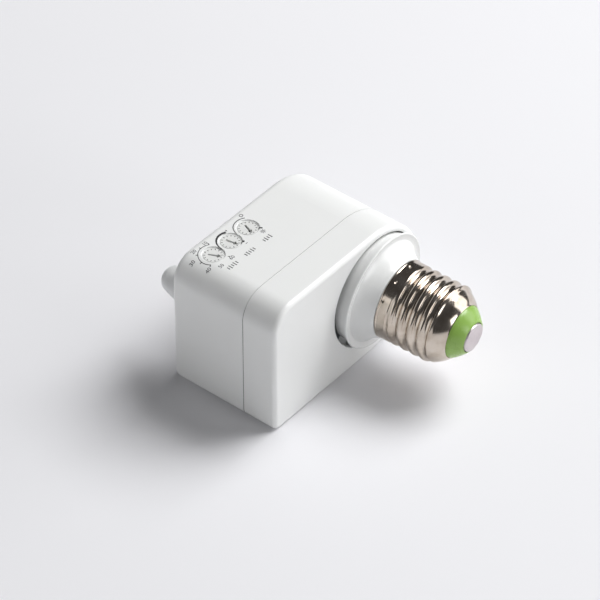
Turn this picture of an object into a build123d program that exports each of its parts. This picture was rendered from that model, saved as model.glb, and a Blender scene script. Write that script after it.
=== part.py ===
"""Motion sensor lamp holder: a box with a lamp socket, a sensor dome and a swivelling screw cap.

X runs along the lamp axis from the socket mouth to the screw cap, Y across the box and Z up
from the flat bottom. The origin is the middle of the socket mouth. Millimetres.
"""

import math
import os

from build123d import *

os.makedirs("parts", exist_ok=True)

# Housing
body_height = 46.7
axis_rise = 1.15  # lamp axis above the middle of the height
side_room = 31.6  # flat side to the socket barrel
rear_depth = 28.2
cover_depth = 12.2
seam_gap = 0.15
wall = 2.0
rear_wall = 2.2
cover_wall = 2.0
top_corner = 8.5
bottom_corner = 2.6
inner_corner = 0.4
cover_round = 1.5
rear_round = 2.3
tongue_wall = 0.9
tongue_depth = 2.4
tongue_play = 0.12

# Housing screws
screw_radius = 1.45
screw_head_radius = 2.5
screw_head_height = 1.6
screw_pocket_depth = 2.4
screw_bite = 5.0
screw_play = 0.15
post_radius = 2.8
post_corner = 4.5  # post axis from the two outer faces of a corner
pocket_wall = 1.1

# Lamp socket
barrel_radius = 16.4
barrel_wall = 2.45
mouth_step = 0.25  # mouth of the box outside the barrel bore
barrel_clear = 1.0  # barrel floor behind the seam
barrel_floor = 3.0
barrel_play = 0.2
ring_wall = 1.3
ring_height = 4.0
ear_out = 3.3  # ear screws outside the barrel
ear_radius = 2.6
ear_thickness = 3.0
ear_post_radius = 2.2
socket_screw_radius = 1.2
socket_screw_length = 10.0
socket_head_radius = 2.1
socket_head_height = 1.4
socket_shell_wall = 0.4
socket_shell_play = 0.2

# Screw cap thread: seven turns to the inch
thread_pitch = 25.4 / 7
thread_crest = 13.1
thread_root = 12.15

# Swivel
pivot_depth = 6.0  # pivot behind the cap-side face
pivot_side = 1.0  # pivot from the lamp axis, away from the flat side
pivot_rise = 0.8  # pivot above the lamp axis
hinge_slant = 38.8  # tilt hinge from the vertical
rest_tilt = 3.66
opening_rim = 2.6  # opening circle from the round skin
opening_side = 0.5
opening_rise = 0.3
opening_round = 0.45
bell_play = 1.2
bell_length = 7.4  # plain bell from the pivot
lip_length = 1.2
lip_out = 1.2
valley_drop = 2.3
hub_radius = 11.0
hub_bore = 7.5
hub_back = 5.2
running_play = 0.08
carrier_radius = 15.0
carrier_half = 2.1
trunnion_radius = 1.6
trunnion_length = 2.6
lug_wall = 1.0
clip_thickness = 0.8
clip_reach = 1.6
stop_width = 2.2
stop_reach = 1.8
bell_gap = 0.35
washer_play = 0.1

# Screw cap
skirt_start = 14.4  # skirt edge from the pivot
skirt_length = 3.4
thread_end = 18.3
insulator_start = 23.2
insulator_radius = 8.9
contact_start = 27.4
contact_radius = 4.85
contact_thickness = 0.6
shell_wall = 0.45
spigot_length = 2.0

# Dials
dial_x = 8.0
dial_side = 10.6  # first dial from the flat side
dial_pitch = 8.1
dial_radius = 3.25
dial_recess_rim = 0.2
dial_recess_depth = 0.35
dial_sink = 0.3
dial_thickness = 1.9
dial_play = 0.3
stem_radius = 1.4
stem_play = 0.06

# Boards
board_thickness = 1.6
board_drop = 10.4  # board top below the housing top
board_start = 4.2
board_length = 32.0
board_width = 24.6
board_side = 3.6  # board edge from the outer flat side
trimmer_size = 5.4
trimmer_height = 5.0
rail_width = 1.6
rail_depth = 3.0
relay_length = 15.2
relay_width = 19.0
relay_height = 15.0
relay_inset = 0.8  # relay from the board's end
film_length = 6.6
film_width = 18.0
film_height = 13.0
can_length = 12.5
electrolytic_radius = 4.0
chip_length = 8.7
chip_width = 3.9
rectifier_length = 4.6
rectifier_width = 6.4
resistor_length = 8.0
resistor_radius = 1.3
can_side = 5.4  # can and chip from the board's middle line
chip_side = 4.6
part_spacing = 1.1

# Motion sensor
sensor_side = 9.5  # sensor axis from the flat side
sensor_drop = 5.5  # sensor axis below the main board
sensor_board_rise = 9.0  # board's lower edge above the inner floor
dome_base_radius = 6.4
dome_tip_radius = 4.6
dome_height = 10.8
dome_wall = 0.8
dome_flange = 0.95
dome_play = 0.15
sensor_board_x = 8.8
sensor_board_edge = 0.4
can_radius = 4.55
can_flange = 0.5
can_height = 4.2
cell_radius = 2.4
cell_offset = 12.6
window_radius = 2.8

# Derived places
axis_height = body_height / 2 + axis_rise
top = body_height - axis_height
floor = -axis_height
side = -barrel_radius - side_room
arc_shift = top - axis_height
body_depth = rear_depth + seam_gap + cover_depth
barrel_depth = rear_depth - rear_wall - barrel_clear
barrel_bore = barrel_radius - barrel_wall
mouth_radius = barrel_bore + mouth_step
shell_crest = barrel_bore - socket_shell_play - socket_shell_wall
shell_root = shell_crest - (thread_crest - thread_root)
ear_reach = barrel_radius + ear_out
opening_radius = top - opening_rim
bell_radius = opening_radius - bell_play
lip_radius = bell_radius + lip_out
dial_recess_radius = dial_radius + dial_play + dial_recess_rim
board_top = top - board_drop
board_low = board_top - board_thickness
barrel_end = rear_wall + barrel_depth
trunnion_tip = carrier_radius + trunnion_length
sensor_y = side + sensor_side
sensor_rise = board_low - sensor_drop
rail_end = rear_depth - tongue_depth - 0.6
dial_places = [(dial_x, side + dial_side + dial_pitch * i) for i in range(3)]


def housing_face(inset):
    """Cross-section of the box seen along X, set in from the outer skin."""
    with BuildSketch() as face:
        with BuildLine():
            left, high, low = side + inset, top - inset, floor + inset
            upper = max(top_corner - inset, inner_corner)
            lower = max(bottom_corner - inset, inner_corner)
            Line((arc_shift, low), (left + lower, low))
            RadiusArc((left + lower, low), (left, low + lower), lower)
            Line((left, low + lower), (left, high - upper))
            RadiusArc((left, high - upper), (left + upper, high), upper)
            Line((left + upper, high), (0, high))
            RadiusArc((0, high), (high, 0), high)
            RadiusArc((high, 0), (arc_shift, low), -low)
        make_face()
    return face.sketch


def polar(radius, degrees):
    """Point in the Y-Z plane at an angle about the lamp axis."""
    angle = math.radians(degrees)
    return (radius * math.cos(angle), radius * math.sin(angle))


post_far = barrel_radius + barrel_play + screw_head_radius + pocket_wall + 0.15
upper_rise = top - screw_head_radius - pocket_wall - 0.45
lower_drop = axis_height - screw_head_radius - pocket_wall - 1.8
screw_places = [
    (side + post_corner, floor + post_corner),
    (-math.sqrt(max(post_far**2 - upper_rise**2, 0)) - 0.2, upper_rise),
    (-math.sqrt(max(post_far**2 - lower_drop**2, 0)) - 0.2, -lower_drop),
]
upper_angle = math.degrees(math.atan2(screw_places[1][1], screw_places[1][0])) + 16
ear_places = [polar(ear_reach, upper_angle), polar(ear_reach, 215)]

# Rear housing: deep tub with the socket mouth, dome hole, dial recesses and posts
with BuildPart() as rear_housing:
    with BuildSketch(Plane.YZ):
        add(housing_face(0))
    extrude(amount=rear_depth)
    fillet(rear_housing.faces().sort_by(Axis.X)[0].edges(), rear_round)
    with BuildSketch(Plane.YZ.offset(rear_wall)):
        add(housing_face(wall))
    extrude(amount=rear_depth, mode=Mode.SUBTRACT)
    with BuildSketch(Plane.YZ.offset(rear_wall)):
        Circle(barrel_radius + barrel_play + ring_wall)
        Circle(barrel_radius + barrel_play, mode=Mode.SUBTRACT)
    extrude(amount=ring_height)
    with BuildSketch(Plane.YZ.offset(rear_wall)):
        with Locations(*screw_places):
            Circle(post_radius)
    extrude(amount=rear_depth - rear_wall)
    with BuildSketch(Plane.YZ.offset(rear_wall)):
        with Locations(*screw_places):
            Circle(screw_head_radius + pocket_wall)
    extrude(amount=screw_pocket_depth)
    with BuildSketch(Plane.YZ.offset(rear_wall)):
        with Locations(*ear_places):
            Circle(ear_post_radius)
    extrude(amount=barrel_depth - ear_thickness)
    with BuildSketch(Plane.YZ.offset(rear_wall)):
        with Locations((side + board_side + board_width - rail_width, board_low - rail_depth / 2)):
            Rectangle(2 * rail_width, rail_depth)
    extrude(amount=rail_end - rear_wall)
    with BuildSketch(Plane.YZ.offset(sensor_board_x + 3.0)):
        with Locations((side + wall + rail_width - 0.3, board_low - rail_depth / 2)):
            Rectangle(2 * rail_width, rail_depth)
    extrude(amount=rail_end - sensor_board_x - 3.0)
    with BuildSketch(Plane.YZ):
        Circle(mouth_radius)
        with Locations((sensor_y, sensor_rise)):
            Circle(dome_base_radius + dome_play)
        with Locations((sensor_y + cell_offset, sensor_rise)):
            Circle(window_radius)
    extrude(amount=rear_wall, mode=Mode.SUBTRACT)
    with BuildSketch(Plane.YZ):
        with Locations(*screw_places):
            Circle(screw_radius + screw_play)
    extrude(amount=rear_depth, mode=Mode.SUBTRACT)
    with BuildSketch(Plane.YZ):
        with Locations(*screw_places):
            Circle(screw_head_radius + screw_play)
    extrude(amount=screw_pocket_depth, mode=Mode.SUBTRACT)
    with BuildSketch(Plane.YZ.offset(rear_wall + barrel_depth - ear_thickness)):
        with Locations(*ear_places):
            Circle(socket_screw_radius)
    extrude(amount=-8, mode=Mode.SUBTRACT)
    with BuildSketch(Plane.XY.offset(top)):
        with Locations(*dial_places):
            Circle(dial_recess_radius)
    extrude(amount=-dial_recess_depth, mode=Mode.SUBTRACT)
    with BuildSketch(Plane.XY.offset(top)):
        with Locations(*dial_places):
            Circle(dial_radius + dial_play)
    extrude(amount=-dial_sink - dial_thickness - 1.0, mode=Mode.SUBTRACT)
    mouth_edge = rear_housing.edges().filter_by(GeomType.CIRCLE)
    mouth_edge = mouth_edge.filter_by(lambda e: abs(e.radius - mouth_radius) < 0.01)
    chamfer(mouth_edge.sort_by(Axis.X)[0], 0.7)
rear_housing.part.label = "rear_housing"
export_step(rear_housing.part, "parts/rear_housing.step")

# Front cover: shallow lid with the round opening, a tongue and the two trunnion lugs
cover_start = rear_depth + seam_gap
pivot = Vector(body_depth - pivot_depth, pivot_side, pivot_rise)
slant = math.radians(hinge_slant)
hinge = Vector(0, math.sin(slant), math.cos(slant))
across_hinge = hinge.cross(Vector(1, 0, 0))
hinge_plane = Plane(origin=pivot, x_dir=(1, 0, 0), z_dir=hinge)
lug_plane = Plane(origin=pivot, x_dir=hinge, z_dir=(1, 0, 0))
lug_half = trunnion_radius + lug_wall
lug_inner = carrier_radius + 0.4
lug_upper = top - 1.9
lug_lower = lug_upper + 3.7
cover_inner = body_depth - cover_wall
opening_place = (opening_side, opening_rise)
with BuildPart() as front_cover:
    with BuildSketch(Plane.YZ.offset(cover_start)):
        add(housing_face(0))
    extrude(amount=cover_depth)
    fillet(front_cover.faces().sort_by(Axis.X)[-1].edges(), cover_round)
    with BuildSketch(Plane.YZ.offset(cover_start)):
        add(housing_face(wall))
    extrude(amount=cover_depth - cover_wall, mode=Mode.SUBTRACT)
    with BuildSketch(Plane.YZ.offset(rear_depth - tongue_depth)):
        add(housing_face(wall + tongue_play))
        add(housing_face(wall + tongue_play + tongue_wall), mode=Mode.SUBTRACT)
    extrude(amount=tongue_depth + seam_gap)
    with BuildSketch(Plane.YZ.offset(cover_start)):
        add(housing_face(wall - 0.1))
        add(housing_face(wall + tongue_play + tongue_wall), mode=Mode.SUBTRACT)
    extrude(amount=1.0)
    with BuildSketch(Plane.YZ.offset(rear_depth)):
        with Locations(*screw_places):
            Circle(post_radius)
    extrude(amount=cover_inner + 0.1 - rear_depth)
    with BuildSketch(Plane.YZ.offset(cover_inner)):
        with Locations(opening_place):
            Circle(opening_radius)
    extrude(amount=-(cover_inner - rear_depth - screw_bite - 1.4), mode=Mode.SUBTRACT)
    with BuildSketch(Plane.YZ.offset(rear_depth)):
        with Locations(*screw_places):
            Circle(screw_radius)
    extrude(amount=screw_bite + 0.4, mode=Mode.SUBTRACT)
    with BuildSketch(Plane.YZ.offset(rear_depth - tongue_depth)):
        with Locations(*screw_places):
            Circle(post_radius + 0.2)
    extrude(amount=tongue_depth, mode=Mode.SUBTRACT)
    with BuildSketch(lug_plane.offset(-lug_half)):
        with Locations(((lug_inner + lug_upper) / 2, 0)):
            Rectangle(lug_upper - lug_inner, 2 * lug_half)
        with Locations((-(lug_inner + lug_lower) / 2, 0)):
            Rectangle(lug_lower - lug_inner, 2 * lug_half)
    extrude(amount=2 * lug_half)
    with BuildSketch(lug_plane):
        with Locations((-(opening_radius + lug_lower + 0.9) / 2, 0)):
            Rectangle(lug_lower - opening_radius - 0.9, 2 * lug_half)
    extrude(amount=cover_inner + 0.1 - pivot.X)
    with BuildSketch(hinge_plane.offset(-trunnion_tip - 0.3)):
        Circle(trunnion_radius + running_play)
    extrude(amount=2 * trunnion_tip + 0.6, mode=Mode.SUBTRACT)
    with BuildSketch(Plane.YZ.offset(body_depth)):
        with Locations(opening_place):
            Circle(opening_radius)
    extrude(amount=-cover_wall, mode=Mode.SUBTRACT)
    opening_edge = front_cover.edges().filter_by(GeomType.CIRCLE)
    opening_edge = opening_edge.filter_by(lambda e: abs(e.radius - opening_radius) < 0.01)
    fillet(opening_edge.sort_by(Axis.X)[-1], opening_round)
front_cover.part.label = "front_cover"
export_step(front_cover.part, "parts/front_cover.step")

# Three long screws through the rear posts into the cover
with BuildPart() as housing_screws:
    with BuildSketch(Plane.YZ.offset(screw_pocket_depth)):
        with Locations(*screw_places):
            Circle(screw_radius)
    extrude(amount=rear_depth + screw_bite - screw_pocket_depth)
    with BuildSketch(Plane.YZ.offset(screw_pocket_depth)):
        with Locations(*screw_places):
            Circle(screw_head_radius)
    extrude(amount=-screw_head_height)
    with BuildSketch(Plane.YZ.offset(screw_pocket_depth - screw_head_height)):
        with Locations(*screw_places):
            Rectangle(3.2, 0.6)
            Rectangle(0.6, 3.2)
    extrude(amount=0.9, mode=Mode.SUBTRACT)
housing_screws.part.label = "housing_screws"
export_step(housing_screws.part, "parts/housing_screws.step")

# Lamp socket body: insulating barrel with two screw ears
with BuildPart() as socket_body:
    with BuildSketch(Plane.YZ.offset(rear_wall)):
        Circle(barrel_radius)
    extrude(amount=barrel_depth)
    with BuildSketch(Plane.YZ.offset(barrel_end)):
        for place in ear_places:
            with Locations(place):
                Circle(ear_radius)
            with Locations((place[0] * 0.75, place[1] * 0.75)):
                Rectangle(ear_reach * 0.5, 2 * ear_radius, rotation=math.degrees(math.atan2(place[1], place[0])))
    extrude(amount=-ear_thickness)
    with BuildSketch(Plane.YZ.offset(rear_wall)):
        Circle(barrel_bore)
    extrude(amount=barrel_depth - barrel_floor, mode=Mode.SUBTRACT)
    with BuildSketch(Plane.YZ.offset(barrel_end)):
        with Locations(*ear_places):
            Circle(socket_screw_radius + 0.1)
        Circle(1.3)
    extrude(amount=-barrel_floor, mode=Mode.SUBTRACT)
socket_body.part.label = "socket_body"
export_step(socket_body.part, "parts/socket_body.step")

with BuildPart() as socket_screws:
    with BuildSketch(Plane.YZ.offset(barrel_end)):
        with Locations(*ear_places):
            Circle(socket_head_radius)
    extrude(amount=socket_head_height)
    with BuildSketch(Plane.YZ.offset(barrel_end)):
        with Locations(*ear_places):
            Circle(socket_screw_radius)
    extrude(amount=-socket_screw_length)
    with BuildSketch(Plane.YZ.offset(barrel_end + socket_head_height)):
        with Locations(*ear_places):
            Rectangle(1.4 * socket_head_radius, 0.6)
    extrude(amount=-0.7, mode=Mode.SUBTRACT)
socket_screws.part.label = "socket_screws"
export_step(socket_screws.part, "parts/socket_screws.step")

# Threaded socket shell, rolled to take the cap thread with play
shell_start = rear_wall + 1.0
shell_length = 18.0
with BuildPart() as socket_shell:
    with BuildSketch(Plane.YZ.offset(shell_start)):
        Circle(shell_crest + socket_shell_wall)
        Circle(shell_root, mode=Mode.SUBTRACT)
    extrude(amount=shell_length)
    with BuildSketch(Plane.YZ.offset(shell_start)):
        Circle(shell_crest + 0.12)
    extrude(amount=1.6, mode=Mode.SUBTRACT)
    groove_turns = Helix(
        thread_pitch,
        shell_length - 4.0,
        shell_root,
        center=(shell_start + 1.0, 0, 0),
        direction=(1, 0, 0),
        mode=Mode.PRIVATE,
    )
    groove_start = groove_turns @ 0
    groove_out = groove_start - Vector(shell_start + 1.0, 0, 0)
    with BuildSketch(Plane(groove_start, x_dir=groove_out, z_dir=groove_turns % 0)):
        with BuildLine():
            ThreePointArc((-0.3, -1.35), (shell_crest - shell_root, 0), (-0.3, 1.35))
            Line((-0.3, 1.35), (-0.3, -1.35))
        make_face()
    sweep(path=groove_turns, is_frenet=True, mode=Mode.SUBTRACT)
socket_shell.part.label = "socket_shell"
export_step(socket_shell.part, "parts/socket_shell.step")

# Spring tongue for the bulb's centre contact, riveted through the barrel floor
tongue_seat = barrel_end - barrel_floor
with BuildPart() as socket_tongue:
    with BuildSketch(Plane.XZ.offset(-2.2)):
        with BuildLine():
            Polyline(
                (tongue_seat, 8.0),
                (tongue_seat, -2.0),
                (tongue_seat - 3.2, 4.0),
                (tongue_seat - 3.6, 3.8),
                (tongue_seat - 0.5, -2.6),
                (tongue_seat - 0.5, 8.0),
                close=True,
            )
        make_face()
    extrude(amount=4.4)
    with BuildSketch(Plane.YZ.offset(tongue_seat - 0.2)):
        Circle(1.2)
    extrude(amount=barrel_floor + 0.7)
socket_tongue.part.label = "socket_tongue"
export_step(socket_tongue.part, "parts/socket_tongue.step")

# Main board with its components
board_mid_y = side + board_side + board_width / 2
with BuildPart() as main_board:
    with BuildSketch(Plane.XY.offset(board_low)):
        with Locations((board_start + board_length / 2, board_mid_y)):
            Rectangle(board_length, board_width)
    extrude(amount=board_thickness)
main_board.part.label = "main_board"
export_step(main_board.part, "parts/main_board.step")

with BuildPart() as trimmers:
    with BuildSketch(Plane.XY.offset(board_top)):
        with Locations(*dial_places):
            Rectangle(trimmer_size, trimmer_size)
            Circle(stem_radius + stem_play, mode=Mode.SUBTRACT)
    extrude(amount=trimmer_height)
trimmers.part.label = "trimmers"
export_step(trimmers.part, "parts/trimmers.step")

dial_top = top - dial_sink
dial_names = ["time_dial", "sensitivity_dial", "light_dial"]
dial_turns = [26, 11, -21]
for dial_name, place, turn in zip(dial_names, dial_places, dial_turns):
    with BuildPart() as dial:
        with BuildSketch(Plane.XY.offset(dial_top)):
            with Locations(place):
                Circle(dial_radius)
        extrude(amount=-dial_thickness)
        chamfer(dial.edges().sort_by(Axis.Z)[-1], 0.25)
        with BuildSketch(Plane.XY.offset(dial_top)):
            with Locations(Location((place[0], place[1]), turn)):
                Rectangle(3.4, 0.7)
                with Locations((1.7, 0)):
                    RegularPolygon(1.0, 3)
        extrude(amount=-0.6, mode=Mode.SUBTRACT)
        with BuildSketch(Plane.XY.offset(dial_top - dial_thickness)):
            with Locations(place):
                Circle(stem_radius)
        extrude(amount=-(dial_top - dial_thickness - board_top - 0.6))
    dial.part.label = dial_name
    export_step(dial.part, "parts/" + dial_name + ".step")

board_end = board_start + board_length
relay_x = board_end - relay_inset - relay_length / 2
with BuildPart() as relay:
    with BuildSketch(Plane.XY.offset(board_low)):
        with Locations((relay_x, board_mid_y - 1.0)):
            RectangleRounded(relay_length, relay_width, 0.6)
    extrude(amount=-relay_height)
    fillet(relay.faces().sort_by(Axis.Z)[0].edges(), 0.5)
relay.part.label = "relay"
export_step(relay.part, "parts/relay.step")

with BuildPart() as film_capacitor:
    with BuildSketch(Plane.XY.offset(board_low)):
        with Locations((relay_x - (relay_length + film_length) / 2 - part_spacing, board_mid_y)):
            Rectangle(film_length, film_width)
    extrude(amount=-film_height)
    fillet(film_capacitor.edges().filter_by(Axis.Z), 0.8)
film_capacitor.part.label = "film_capacitor"
export_step(film_capacitor.part, "parts/film_capacitor.step")

can_start = dial_x + trimmer_size / 2 + part_spacing
with BuildPart() as electrolytic_capacitor:
    with BuildSketch(Plane.YZ.offset(can_start)):
        with Locations((board_mid_y - can_side, board_top + electrolytic_radius)):
            Circle(electrolytic_radius)
    extrude(amount=can_length)
    fillet(electrolytic_capacitor.edges().filter_by(GeomType.CIRCLE), 0.5)
electrolytic_capacitor.part.label = "electrolytic_capacitor"
export_step(electrolytic_capacitor.part, "parts/electrolytic_capacitor.step")

chip_x = can_start + 1.3 + chip_length / 2
with BuildPart() as controller_chip:
    with BuildSketch(Plane.XY.offset(board_top)):
        with Locations((chip_x, board_mid_y + chip_side)):
            Rectangle(chip_length, chip_width)
    extrude(amount=1.5)
    with BuildSketch(Plane.XY.offset(board_top)):
        with Locations((chip_x, board_mid_y + chip_side)):
            with GridLocations(chip_length / 7, chip_width + 1.1, 7, 2):
                Rectangle(0.4, 1.2)
    extrude(amount=0.3)
controller_chip.part.label = "controller_chip"
export_step(controller_chip.part, "parts/controller_chip.step")

rectifier_x = chip_x + (chip_length + rectifier_length) / 2 + part_spacing
with BuildPart() as rectifier:
    with BuildSketch(Plane.XY.offset(board_top)):
        with Locations((rectifier_x, board_mid_y + chip_side)):
            Rectangle(rectifier_length, rectifier_width)
    extrude(amount=2.6)
rectifier.part.label = "rectifier"
export_step(rectifier.part, "parts/rectifier.step")

with BuildPart() as fuse_resistor:
    with BuildSketch(Plane.XZ.offset(-board_mid_y + resistor_length + 1.4)):
        with Locations((board_end - relay_inset - resistor_radius, board_top + resistor_radius)):
            Circle(resistor_radius)
    extrude(amount=-resistor_length)
fuse_resistor.part.label = "fuse_resistor"
export_step(fuse_resistor.part, "parts/fuse_resistor.step")

# Motion sensor: board, metal can, moulded dome lens
sensor_board_low = floor + wall + sensor_board_rise
cell_y = sensor_y + cell_offset
sensor_board_left = sensor_y - can_radius - can_flange - sensor_board_edge
sensor_board_right = cell_y + cell_radius + sensor_board_edge
sensor_board_y = (sensor_board_left + sensor_board_right) / 2
with BuildPart() as sensor_board:
    with BuildSketch(Plane.YZ.offset(sensor_board_x)):
        with Locations((sensor_board_y, (board_low + sensor_board_low) / 2)):
            Rectangle(sensor_board_right - sensor_board_left, board_low - sensor_board_low)
    extrude(amount=1.2)
sensor_board.part.label = "sensor_board"
export_step(sensor_board.part, "parts/sensor_board.step")

with BuildPart() as pir_sensor:
    with BuildSketch(Plane.YZ.offset(sensor_board_x)):
        with Locations((sensor_y, sensor_rise)):
            Circle(can_radius + can_flange)
    extrude(amount=-0.5)
    with BuildSketch(Plane.YZ.offset(sensor_board_x)):
        with Locations((sensor_y, sensor_rise)):
            Circle(can_radius)
    extrude(amount=-can_height)
    with BuildSketch(Plane.YZ.offset(sensor_board_x - can_height)):
        with Locations((sensor_y, sensor_rise)):
            Rectangle(4.0, 3.0)
    extrude(amount=0.3, mode=Mode.SUBTRACT)
pir_sensor.part.label = "pir_sensor"
export_step(pir_sensor.part, "parts/pir_sensor.step")

with BuildPart() as light_cell:
    with BuildSketch(Plane.YZ.offset(sensor_board_x)):
        with Locations((sensor_y + cell_offset, sensor_rise)):
            Circle(cell_radius)
    extrude(amount=-2.0)
light_cell.part.label = "light_cell"
export_step(light_cell.part, "parts/light_cell.step")

with BuildPart() as light_window:
    with BuildSketch(Plane.YZ):
        with Locations((sensor_y + cell_offset, sensor_rise)):
            Circle(window_radius - 0.05)
    extrude(amount=rear_wall)
    with BuildSketch(Plane.YZ.offset(rear_wall)):
        with Locations((sensor_y + cell_offset, sensor_rise)):
            Circle(window_radius + 0.8)
    extrude(amount=0.8)
light_window.part.label = "light_window"
export_step(light_window.part, "parts/light_window.step")

dome_plane = Plane(origin=(0, sensor_y, sensor_rise), x_dir=(-1, 0, 0), z_dir=(0, 1, 0))
tip_centre = dome_height - dome_tip_radius
flank = math.atan2(dome_base_radius - dome_tip_radius, tip_centre)
tip_join = (
    tip_centre + dome_tip_radius * math.sin(flank),
    dome_tip_radius * math.cos(flank),
)
inner_tip = dome_tip_radius - dome_wall
inner_join = (tip_centre + inner_tip * math.sin(flank), inner_tip * math.cos(flank))
inner_base = dome_base_radius - dome_wall
with BuildPart() as sensor_lens:
    with BuildSketch(dome_plane):
        with BuildLine():
            Line((-rear_wall - 0.9, inner_base), (-rear_wall - 0.9, dome_base_radius + dome_flange))
            Line((-rear_wall - 0.9, dome_base_radius + dome_flange), (-rear_wall, dome_base_radius + dome_flange))
            Line((-rear_wall, dome_base_radius + dome_flange), (-rear_wall, dome_base_radius))
            Line((-rear_wall, dome_base_radius), (0, dome_base_radius))
            Line((0, dome_base_radius), tip_join)
            RadiusArc(tip_join, (dome_height, 0), dome_tip_radius)
            Line((dome_height, 0), (dome_height - dome_wall, 0))
            RadiusArc((dome_height - dome_wall, 0), inner_join, -inner_tip)
            Line(inner_join, (0, inner_base))
            Line((0, inner_base), (-rear_wall - 0.9, inner_base))
        make_face()
    revolve(axis=Axis((0, sensor_y, sensor_rise), (-1, 0, 0)))
sensor_lens.part.label = "sensor_lens"
export_step(sensor_lens.part, "parts/sensor_lens.step")

# Swivel: carrier ring on two trunnions, wave washer, collar, clip
tilt = math.radians(rest_tilt)
cap_axis = Vector(1, 0, 0) * math.cos(tilt) + across_hinge * math.sin(tilt)
profile_plane = Plane(origin=pivot, x_dir=cap_axis, z_dir=cap_axis.cross(hinge))
turn_plane = Plane(origin=pivot, x_dir=hinge, z_dir=cap_axis)
turn_axis = Axis(pivot, cap_axis)
bore_radius = hub_radius + running_play
stop_inner = hub_radius + clip_reach + 0.3
bell_back = lug_half + bell_gap
washer_thickness = bell_back - carrier_half - washer_play

with BuildPart() as carrier_ring:
    with BuildSketch(turn_plane.offset(-carrier_half)):
        Circle(carrier_radius)
        Circle(bore_radius, mode=Mode.SUBTRACT)
    extrude(amount=2 * carrier_half)
    chamfer(carrier_ring.edges().filter_by(GeomType.CIRCLE), 0.3)
    with BuildSketch(hinge_plane.offset(-trunnion_tip)):
        Circle(trunnion_radius)
    extrude(amount=2 * trunnion_tip)
    with BuildSketch(turn_plane.offset(-carrier_half - 1)):
        Circle(bore_radius)
    extrude(amount=2 * carrier_half + 2, mode=Mode.SUBTRACT)
    with BuildSketch(turn_plane.offset(-carrier_half + 0.3)):
        with Locations(Location((0, 0), 180)):
            with Locations((stop_inner + stop_reach / 2, 0)):
                Rectangle(stop_reach, stop_width)
    extrude(amount=-(hub_back - carrier_half + 0.3))
carrier_ring.part.label = "carrier_ring"
export_step(carrier_ring.part, "parts/carrier_ring.step")

with BuildPart() as wave_washer:
    with BuildSketch(turn_plane.offset(carrier_half)):
        Circle(carrier_radius - 0.6)
        Circle(bore_radius + 0.3, mode=Mode.SUBTRACT)
    extrude(amount=washer_thickness)
wave_washer.part.label = "wave_washer"
export_step(wave_washer.part, "parts/wave_washer.step")

lip_front = bell_length + lip_length
valley = (lip_front - 0.2, lip_radius - valley_drop)
neck_top = skirt_start - 0.2
spigot_radius = thread_crest - shell_wall - 0.05
clip_front = -carrier_half - 0.1
with BuildPart() as swivel_collar:
    with BuildSketch(profile_plane):
        with BuildLine():
            Line((-hub_back, hub_bore), (-hub_back, hub_radius))
            Line((-hub_back, hub_radius), (bell_back, hub_radius))
            Line((bell_back, hub_radius), (bell_back, bell_radius - 0.8))
            ThreePointArc(
                (bell_back, bell_radius - 0.8),
                (bell_back + 0.24, bell_radius - 0.24),
                (bell_back + 0.8, bell_radius),
            )
            Line((bell_back + 0.8, bell_radius), (bell_length, bell_radius))
            Spline(
                (bell_length, bell_radius),
                (lip_front - 0.5, lip_radius),
                tangents=((1, 0), (0.4, 1)),
            )
            ThreePointArc(
                (lip_front - 0.5, lip_radius),
                (lip_front - 0.05, lip_radius - 0.15),
                (lip_front, lip_radius - 0.6),
            )
            ThreePointArc(
                (lip_front, lip_radius - 0.6),
                (lip_front - 0.2, (lip_radius - 0.6 + valley[1]) / 2),
                valley,
            )
            Spline(
                valley,
                (lip_front + (neck_top - lip_front) * 0.36, thread_crest + 1.95),
                (neck_top, thread_crest + 0.2),
                tangents=((0.6, -1), (1, -0.25)),
            )
            Line((neck_top, thread_crest + 0.2), (neck_top, spigot_radius))
            Line((neck_top, spigot_radius), (neck_top + spigot_length, spigot_radius))
            Line((neck_top + spigot_length, spigot_radius), (neck_top + spigot_length, hub_bore))
            Line((neck_top + spigot_length, hub_bore), (-hub_back, hub_bore))
        make_face()
    revolve(axis=turn_axis)
    with BuildSketch(profile_plane):
        with BuildLine():
            Polyline(
                (clip_front, hub_radius - 0.8),
                (clip_front, hub_radius + 1),
                (clip_front - clip_thickness, hub_radius + 1),
                (clip_front - clip_thickness, hub_radius - 0.8),
                close=True,
            )
        make_face()
    revolve(axis=turn_axis, mode=Mode.SUBTRACT)
    with BuildSketch(turn_plane.offset(-hub_back)):
        with Locations((stop_inner / 2 + stop_reach / 2 - 0.3, 0)):
            Rectangle(stop_inner + stop_reach - 0.6, stop_width)
        Circle(hub_radius - 1.0, mode=Mode.SUBTRACT)
    extrude(amount=hub_back + clip_front - clip_thickness - 0.15)
swivel_collar.part.label = "swivel_collar"
export_step(swivel_collar.part, "parts/swivel_collar.step")

with BuildPart() as collar_clip:
    with BuildSketch(turn_plane.offset(clip_front)):
        Circle(hub_radius + clip_reach)
        Circle(hub_radius - 0.8, mode=Mode.SUBTRACT)
        with Locations((-hub_radius, 0)):
            Rectangle(8.0, 6.0, mode=Mode.SUBTRACT)
    extrude(amount=-clip_thickness)
collar_clip.part.label = "collar_clip"
export_step(collar_clip.part, "parts/collar_clip.step")

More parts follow.
